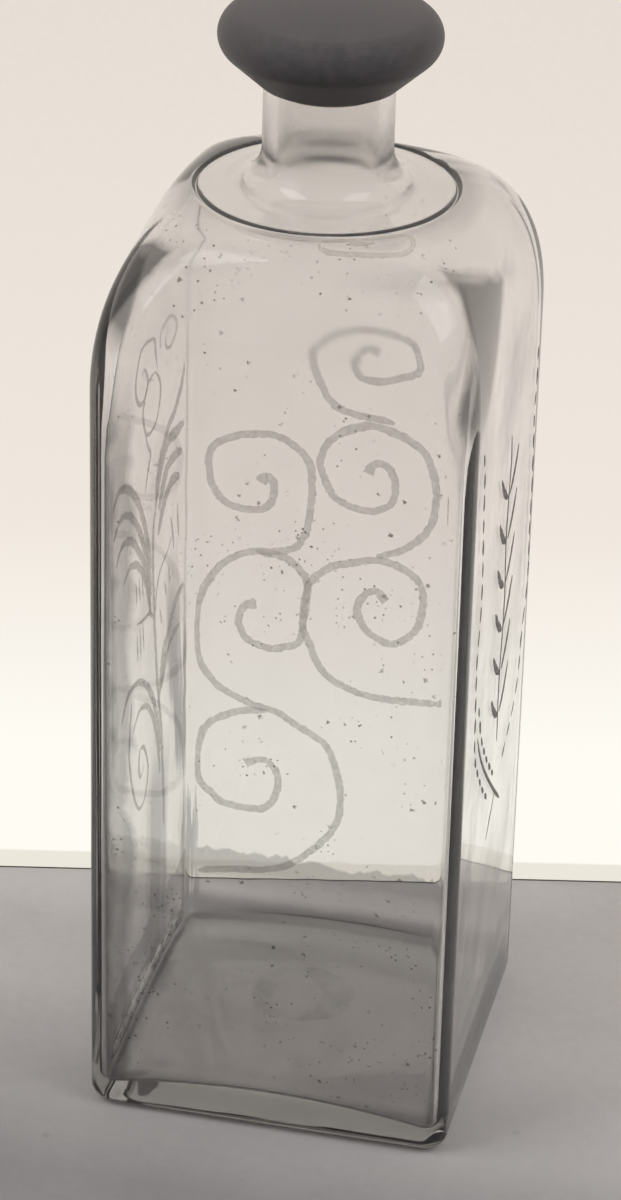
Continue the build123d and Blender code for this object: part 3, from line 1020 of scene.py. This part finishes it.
def blackened_wood(dark):
    """Turned wood, stained black and polished, with fine lathe rings."""
    material, web, shader = material_start("Blackened Wood")
    vector = web.place()
    grain = web.noise(web.stretch(vector, (1.0, 0.16, 1.0)), 420.0, 5.0, 0.6)
    worn = (dark[0] * 1.2, dark[1] * 1.12, dark[2] * 1.16)
    lathe = {"Vector": vector, "Scale": 420.0, "Distortion": 0.6}
    rings = web.add("TexWave", lathe, "Fac", wave_type="BANDS", bands_direction="Z")
    web.fill(shader, {
        "Base Color": web.mix(web.span(grain, 0.35, 0.7), shaded(dark, 0.88), worn),
        "Roughness": web.span(grain, 0.3, 0.7, 0.42, 0.55),
        "Specular IOR Level": 0.3,
        "Normal": web.bump(web.plus(grain, web.times(rings, 0.35)), 0.18, 0.0003),
    })
    return material


def mottled(name, shade, scale, dark_share, roughness, stretch=(1.0, 1.0, 1.0)):
    """Cork, leather or bare wood: two shades of one colour in a grain, and a fine bump."""
    material, web, shader = material_start(name)
    vector = web.stretch(web.place(), stretch)
    grain = web.noise(vector, scale, 6.0, 0.65)
    two_shades = web.mix(web.span(grain, 0.4, 0.62), shaded(shade, dark_share), shade)
    pits = web.span(web.cells(vector, scale * 1.4), 0.18, 0.08)
    web.fill(shader, {
        "Base Color": web.mix(pits, two_shades, shaded(shade, dark_share * 0.6)),
        "Roughness": web.span(grain, 0.3, 0.7, roughness - 0.1, roughness + 0.1),
        "Normal": web.bump(grain, 0.5, 0.0003),
    })
    return material


def show_one_side(web, shader):
    """Makes a stage surface see-through from behind."""
    inputs = {
        "Fac": web.add("NewGeometry", {}, "Backfacing"),
        1: shader,
        2: web.add("BsdfTransparent", {}, "BSDF"),
    }
    web.fill(web.tree.nodes["Material Output"], {"Surface": web.add("MixShader", inputs, "Shader")})


# Operators


class BottleGlassOperator(bpy.types.Operator):
    """Build the blown glass body"""

    bl_idname = "bitters.glass"
    bl_label = "Glass Body"

    def execute(self, context):
        sizes = context.scene.bitters_glass
        outer = outer_levels(sizes)
        mesh_work = stack_levels(outer + inner_levels(sizes), len(outer), sizes)
        specks = bpy.data.node_groups.get("Specks and Film") or speck_group()
        glass = old_glass(context.scene.bitters_colours, specks, shade_stain_and_dust_group(sizes))
        finish_piece(mesh_work, "glass_body", glass, nodes=["glass_bottle"])
        return {"FINISHED"}


class BottleOrnamentOperator(bpy.types.Operator):
    """Cut the scrolls, the spray and the dashed shield into the sides"""

    bl_idname = "bitters.ornament"
    bl_label = "Cut Ornament"

    def execute(self, context):
        glass = context.scene.bitters_glass
        sizes = context.scene.bitters_ornament
        colours = context.scene.bitters_colours
        specks = bpy.data.node_groups.get("Specks and Film") or speck_group()
        stroke, leaf, spread = sizes.stroke_width, sizes.leaf_width, sizes.side_spread

        def out(spot):
            return wall_depth(glass, spot.x, spot.y) + sizes.proud

        def on_back(spot):
            return Vector((spot.x, out(spot), spot.y))

        def on_left(spot):
            return Vector((-out(spot), spot.x, spot.y))

        def on_right(spot):
            return Vector((out(spot), spot.x, spot.y))

        def on_front_shoulder(spot):
            return Vector((spot.x, -spot.y, shoulder_height(glass, spot.x, spot.y) + sizes.proud))

        def cut(name, material, strokes):
            ribbons = bmesh.new()
            for points, width, lay, taper, seed, *rest in strokes:
                cut_stroke(ribbons, points, width, lay, taper, seed, *rest)
            thicken_strokes(ribbons, sizes.cut_depth)
            finish_piece(ribbons, name, material)

        def frosted(name, shade, thinnest, thickest):
            return frosted_cut(name, shade, colours.grime, specks, thinnest, thickest)

        scrolls = [(points, stroke, on_back, 1.0, seed, 1.0, 0.5) for seed, points in enumerate(BACK_SCROLLS)]
        scrolls += [
            (points, stroke * 0.6, on_front_shoulder, 1.0, seed)
            for seed, points in enumerate(FRONT_LINK, SEEDS["link"])
        ]
        cut("cut_scrolls", frosted("Light Cut", colours.frost, 0.14, 0.30), scrolls)

        spray = [
            (points, leaf * share, on_left, 0.5, seed, spread)
            for seed, (share, points) in enumerate(LEFT_SPRAY, SEEDS["spray"])
        ]
        cut("cut_spray", frosted("Middle Cut", colours.frost, 0.30, 0.52), spray)

        # Each stroke of the shield has its width, its taper and how much wider it is along the side
        shield = [(dash, 0.8, 1.0, spread) for points in RIGHT_SHIELD for dash in dashes_along(points)]
        shield += [(points, 0.6, 0.6, 1.0) for points in RIGHT_TAIL]
        strokes = [
            (points, stroke * share, on_right, taper, seed, wider)
            for seed, (points, share, taper, wider) in enumerate(shield, SEEDS["shield"])
        ]
        # The stem is as ragged as the first leaf
        first_leaf = SEEDS["shield"] + len(shield)
        strokes.append((SPRIG_STEM, stroke * 0.7, on_right, 0.6, first_leaf))
        leaves = [
            [(SPRIG_MIDDLE + side * (SPRIG_STALK + x), level + z) for x, z in SPRIG_LEAF]
            for level in SPRIG_LEVELS
            for side in (-1, 1)
        ]
        strokes += [
            (points, stroke * 1.1, on_right, 0.7, seed) for seed, points in enumerate(leaves, first_leaf)
        ]
        cut("cut_shield", frosted("Dark Cut", colours.dark_frost, 0.55, 0.8), strokes)

        inside = glass.half_width - glass.panel_wall

        def inside_left(spot):
            return Vector((sizes.white_line_gap - inside, spot.x, spot.y + floor_swell(glass, inside, spot.x)))

        # The broken white line along the inside of the floor's left edge
        seam_level = glass.base_thickness / MM + WHITE_LINE_RISE
        seam = [(share * inside / MM, seam_level) for share in WHITE_LINE_SHARES]
        white_line = [(seam, sizes.white_line_width, inside_left, 1.0, first_leaf + len(leaves))]
        cut("floor_white_line", broken_white_line(colours.white_line), white_line)
        return {"FINISHED"}


def knob_profile(knob, lip_level, neck_radius):
    """The outline of the knob: crown, rim, underside, skirt edge and socket."""
    skirt_level = lip_level - knob.skirt_overlap
    socket_radius = neck_radius + knob.socket_clearance
    skirt_radius = socket_radius + knob.skirt_edge
    rim_centre = knob.knob_radius - knob.rim_round
    sweep = pi / 2 - knob.underside_slope
    rim_foot = rim_centre + knob.rim_round * cos(sweep)
    climb = (rim_foot - skirt_radius) * tan(knob.underside_slope)
    equator = skirt_level + climb + knob.rim_round * sin(sweep)
    spread = 2 * (knob.crown_rise - knob.rim_round)
    crown_radius = (rim_centre ** 2 + knob.crown_rise ** 2 - knob.rim_round ** 2) / spread
    crown_middle = equator - crown_radius + knob.crown_rise
    join = atan((equator - crown_middle) / rim_centre)
    profile = [(0.0, equator + knob.crown_rise)]
    for step in range(1, CROWN_STEPS):
        turn = pi / 2 - (pi / 2 - join) * step / CROWN_STEPS
        profile.append((crown_radius * cos(turn), crown_middle + crown_radius * sin(turn)))
    for step in range(RIM_STEPS + 1):
        turn = join - (join + sweep) * step / RIM_STEPS
        profile.append((rim_centre + knob.rim_round * cos(turn), equator + knob.rim_round * sin(turn)))
    foot = Vector(profile[-1])
    toe = Vector((skirt_radius, skirt_level))
    profile += [tuple(foot.lerp(toe, share)) for share in UNDERSIDE_SHARES]
    profile.append((skirt_radius - SKIRT_ROUND, skirt_level))
    profile.append((socket_radius + SOCKET_ROUND, skirt_level))
    socket_foot = skirt_level + SKIRT_ROUND
    seat_level = lip_level + knob.seat_gap
    profile += [(socket_radius, socket_foot + (seat_level - socket_foot) * share) for share in SOCKET_SHARES]
    profile += [(socket_radius * share, seat_level) for share in SOCKET_ROOF_SHARES]
    profile.append((0.0, seat_level))
    return profile


class BottleStopperOperator(bpy.types.Operator):
    """Turn the knob, and finish the cork, the dowel and the washer"""

    bl_idname = "bitters.stopper"
    bl_label = "Stopper"

    def execute(self, context):
        glass = context.scene.bitters_glass
        colours = context.scene.bitters_colours
        profile = knob_profile(context.scene.bitters_stopper, glass.lip_level, glass.neck_radius)
        knob = spin_profile(profile, KNOB_SPIN_STEPS)
        wood = blackened_wood(colours.blackened_wood)
        finish_piece(knob, "turned_knob", wood, "stopper", ["stopper_knob"])
        finishes = {
            "stopper_cork": mottled("Cork", colours.cork, 260.0, 0.62, 0.85),
            "stopper_dowel": mottled("Dowel Wood", colours.plain_wood, 300.0, 0.8, 0.7, (1.0, 1.0, 0.12)),
            "lip_washer": mottled("Washer Leather", colours.leather, 500.0, 0.6, 0.75),
        }
        for name, material in finishes.items():
            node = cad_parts[name]
            node.data.materials.clear()
            node.data.materials.append(material)
        return {"FINISHED"}


TABLE_REACH = 4.0
TABLE_DROP = 0.05 * MM
WALL_REACH = 1.2
# Distances on the table and heights on the wall, in metres, between which one colour turns into the next
# Painted shade on the table towards the camera
TABLE_SHADED_FRONT = (-0.075, 0.005)
# The painted pool of light on the table under the bottle
TABLE_PAINTED_LIGHT = (0.043, 0.037)
# Painted light on the wall, paler towards its foot
WALL_MIDDLE_LIGHT = (0.26, 0.11)
WALL_LOW_LIGHT = (0.11, 0.04)
WALL_SKIRTING = (0.0056, 0.005)
# Each lamp's place, power and size
LAMPS = {
    "lamp_back": ((0.3, 1.3, 1.6), 66.0, 1.4),
    "lamp_left": ((-1.4, -0.5, 1.5), 27.0, 1.6),
    "lamp_right": ((1.4, -0.2, 1.6), 16.0, 1.4),
}
LAMP_AIM = Vector((0.0, 0.0, 0.12))


class BottleStageOperator(bpy.types.Operator):
    """Set the table, the wall, the lamps and the camera"""

    bl_idname = "bitters.stage"
    bl_label = "Stage"

    def execute(self, context):
        scene = context.scene
        stage = scene.bitters_stage
        colours = scene.bitters_colours
        self.add_table(scene, stage, colours)
        self.add_wall(scene, stage, colours)
        self.add_light(scene, colours)
        self.add_camera(scene, stage)
        scene.view_settings.view_transform = "Standard"
        return {"FINISHED"}

    def add_surface(self, scene, name, reach, matrix, material):
        """A flat square, given its place in its mesh."""
        mesh_work = bmesh.new()
        bmesh.ops.create_grid(mesh_work, x_segments=1, y_segments=1, size=reach)
        mesh = bpy.data.meshes.new(name)
        mesh_work.to_mesh(mesh)
        mesh_work.free()
        mesh.transform(matrix)
        mesh.materials.append(material)
        surface = bpy.data.objects.new(name, mesh)
        scene.collection.objects.link(surface)

    def add_table(self, scene, stage, colours):
        """The grey table under the bottle, with painted shade towards the camera and behind the wall, and a
        painted pool of light under the bottle.
        """
        material, web, shader = material_start("Stone Table")
        vector = web.place()
        x, y = web.split(vector)[:2]
        # Painted shade: the table darkens from the wall towards the camera
        grey = web.mix(web.span(y, *TABLE_SHADED_FRONT), colours.table_front_shaded, colours.table)
        # Painted light: a paler square of table under the bottle, where light comes through the glass
        grey = web.mix(web.span(web.most(web.size(x), web.size(y)), *TABLE_PAINTED_LIGHT), grey, colours.table_painted_light)
        # Painted shade: the table behind the wall is darker, to hold back the light of the lamp there
        to_wall = {0: vector, 1: (-sin(stage.azimuth), cos(stage.azimuth), 0.0)}
        along = web.add("VectorMath", to_wall, "Value", operation="DOT_PRODUCT")
        behind = web.span(along, stage.wall_distance, stage.wall_distance + stage.joint_height)
        grey = web.mix(behind, grey, colours.table_behind_shaded)
        mottle = web.plus(
            web.span(web.noise(vector, 14.0, 6.0, 0.6), 0.3, 0.7),
            web.span(web.noise(vector, 260.0, 6.0, 0.7), 0.35, 0.65, 0.0, 0.45),
            web.span(web.cells(vector, 70.0), 0.05, 0.08, -1.6, 0.0),
        )
        cloudy = web.mix(mottle, (0.87, 0.87, 0.87), (1.0, 1.0, 1.0))
        stone = web.mix(1.0, grey, cloudy, blend_type="MULTIPLY")
        web.fill(shader, {"Base Color": stone, "Roughness": 0.8})
        self.add_surface(scene, "table", TABLE_REACH, Matrix.Translation((0.0, 0.0, -TABLE_DROP)), material)

    def add_wall(self, scene, stage, colours):
        """The pale wall close behind the bottle, seen only from the front and glowing with painted light, and
        the dark joint at its foot.
        """
        turn = Matrix.Rotation(stage.azimuth, 4, "Z")
        upright = Matrix.Rotation(pi / 2, 4, "X")
        material, web, shader = material_start("Pale Wall")
        vector = web.place()
        height = web.split(vector)[2]
        grain = web.span(web.noise(vector, 700.0, 5.0, 0.6), 0.3, 0.7)
        pale = web.mix(grain, shaded(colours.wall, 0.985), shaded(colours.wall, 1.015))
        # Painted light: the wall grows paler towards its foot
        pale = web.mix(web.span(height, *WALL_MIDDLE_LIGHT), pale, colours.wall_middle_lit)
        pale = web.mix(web.span(height, *WALL_LOW_LIGHT), pale, colours.wall_low_lit)
        pale = web.mix(web.span(height, *WALL_SKIRTING), pale, colours.skirting)
        web.fill(shader, {"Base Color": pale, "Roughness": 0.9})
        # Painted light: the wall glows in its colour for the camera, in reflections and through the glass
        kinds = ("Camera", "Glossy", "Transmission")
        seen = web.most(*[web.add("LightPath", {}, f"Is {kind} Ray") for kind in kinds])
        glow = web.add("Emission", {"Color": pale}, "Emission")
        lit = web.add("MixShader", {"Fac": seen, 1: shader.outputs["BSDF"], 2: glow}, "Shader")
        show_one_side(web, lit)
        place = Matrix.Translation((0.0, stage.wall_distance, 0.0))
        self.add_surface(scene, "wall", WALL_REACH, turn @ place @ upright, material)

        material, web, shader = material_start("Dark Joint")
        web.fill(shader, {"Base Color": (*colours.joint, 1.0)})
        show_one_side(web, shader.outputs["BSDF"])
        size = Matrix.Diagonal((1.0, stage.joint_height / (2 * WALL_REACH), 1.0, 1.0))
        place = Matrix.Translation((0.0, stage.wall_distance - stage.joint_height, 0.0))
        self.add_surface(scene, "joint", WALL_REACH, turn @ place @ upright @ size, material)

    def add_light(self, scene, colours):
        """A dim room, a broad lamp behind the wall and a softer one on each side."""
        world = bpy.data.worlds.new("Room")
        scene.world = world
        world.use_nodes = True
        web = NodeWeb(world.node_tree)
        inputs = {
            "Fac": web.add("LightPath", {}, "Is Camera Ray"),
            1: web.add("Background", {"Color": (*colours.room, 1.0)}, "Background"),
            2: web.add("Background", {"Color": (*colours.room_seen, 1.0)}, "Background"),
        }
        web.fill(web.tree.nodes["World Output"], {"Surface": web.add("MixShader", inputs, "Shader")})
        for name, (place, power, size) in LAMPS.items():
            lamp = bpy.data.lights.new(name, "AREA")
            lamp.energy = power
            lamp.size = size
            lamp_object = bpy.data.objects.new(name, lamp)
            lamp_object.location = place
            lamp_object.visible_glossy = False
            lamp_object.rotation_euler = (LAMP_AIM - Vector(place)).to_track_quat("-Z", "Y").to_euler()
            scene.collection.objects.link(lamp_object)

    def add_camera(self, scene, stage):
        """The camera at the photograph's place."""
        turn, rise = stage.azimuth, stage.elevation
        back = Vector((sin(turn) * cos(rise), -cos(turn) * cos(rise), sin(rise)))
        target = Vector((stage.aim_side * cos(turn), stage.aim_side * sin(turn), stage.aim_height))
        camera = bpy.data.cameras.new("camera")
        camera.sensor_width = 36.0
        camera.lens = stage.focal_length
        camera.clip_start = 0.01
        camera.clip_end = 30.0
        camera_object = bpy.data.objects.new("camera", camera)
        camera_object.location = target + back * stage.distance
        look = (-back).to_track_quat("-Z", "Y") @ Quaternion((0.0, 0.0, 1.0), stage.roll)
        camera_object.rotation_euler = look.to_euler()
        scene.collection.objects.link(camera_object)
        scene.camera = camera_object


class BottlePanel(bpy.types.Panel):
    """Lists the steps that dress the bottle"""

    bl_idname = "VIEW3D_PT_bitters_bottle"
    bl_label = "Bitters Bottle"
    bl_space_type = "VIEW_3D"
    bl_region_type = "UI"
    bl_category = "Bitters Bottle"

    def draw(self, context):
        for operator in (
            BottleGlassOperator,
            BottleOrnamentOperator,
            BottleStopperOperator,
            BottleStageOperator,
        ):
            self.layout.operator(operator.bl_idname)


GROUPS = {
    "bitters_glass": BottleGlassSizes,
    "bitters_ornament": BottleOrnamentSizes,
    "bitters_stopper": BottleStopperSizes,
    "bitters_colours": BottleColours,
    "bitters_stage": BottleStageSizes,
}
CLASSES = (
    *GROUPS.values(),
    BottleGlassOperator,
    BottleOrnamentOperator,
    BottleStopperOperator,
    BottleStageOperator,
    BottlePanel,
)


def register():
    """Registers the classes and hangs their sizes on the scene."""
    for part in CLASSES:
        bpy.utils.register_class(part)
    for name, group in GROUPS.items():
        setattr(bpy.types.Scene, name, PointerProperty(type=group))


def unregister():
    """Takes the sizes and the classes away again."""
    for name in GROUPS:
        delattr(bpy.types.Scene, name)
    for part in reversed(CLASSES):
        bpy.utils.unregister_class(part)


def main():
    """Dresses the bottle."""
    register()
    bpy.ops.bitters.stage()
    bpy.ops.bitters.glass()
    bpy.ops.bitters.ornament()
    bpy.ops.bitters.stopper()


if __name__ == "__main__":
    main()
